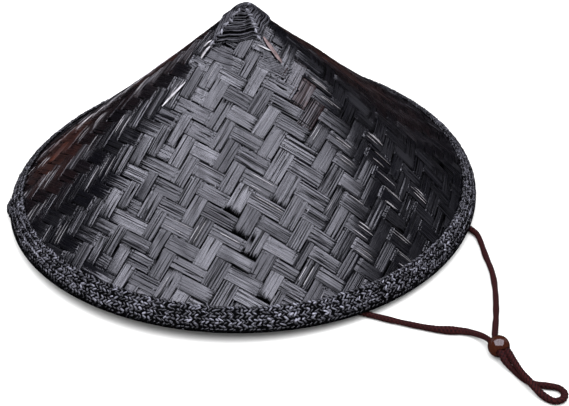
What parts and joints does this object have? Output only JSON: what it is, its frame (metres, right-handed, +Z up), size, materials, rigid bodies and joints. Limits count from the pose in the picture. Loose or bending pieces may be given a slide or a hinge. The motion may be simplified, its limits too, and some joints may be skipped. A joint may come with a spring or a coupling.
{
  "type": "woven conical hat with a chin cord",
  "caption": "Black conical hat of twill-woven bamboo strips with a braided rim, a wound cap on its tip and a brown chin cord with a sliding bead; head hollow open below.",
  "frame": {"origin": "on the surface the hat stands on, under the middle of the hat's box without its cord", "axes": "+Z up towards the tip; -Y is the front, the face that the picture shows; the chin cord leaves at the right front, +X and -Y"},
  "size_m": [0.4283, 0.4733, 0.1779],
  "materials": {
    "bamboo_weave": "flat bamboo strips dyed black, with a soft blue-grey sheen and fine splits along the strips",
    "rim_braid": "thin black bamboo strands braided into a stitched band, worn grey on the crowns of the stitches",
    "wound_strand": "round black strands wound and stitched, satin",
    "braided_cord": "dark red-brown braided textile cord, matt",
    "polished_bead": "dark reddish-brown, polished"
  },
  "bodies": {
    "root": {"cone_body": "bamboo_weave", "rim_binding": "rim_braid", "apex_cap": "wound_strand", "chin_cord": "braided_cord", "cord_knot_right": "braided_cord", "cord_knot_left": "braided_cord", "cord_bead": "polished_bead"}
  },
  "joints": []
}
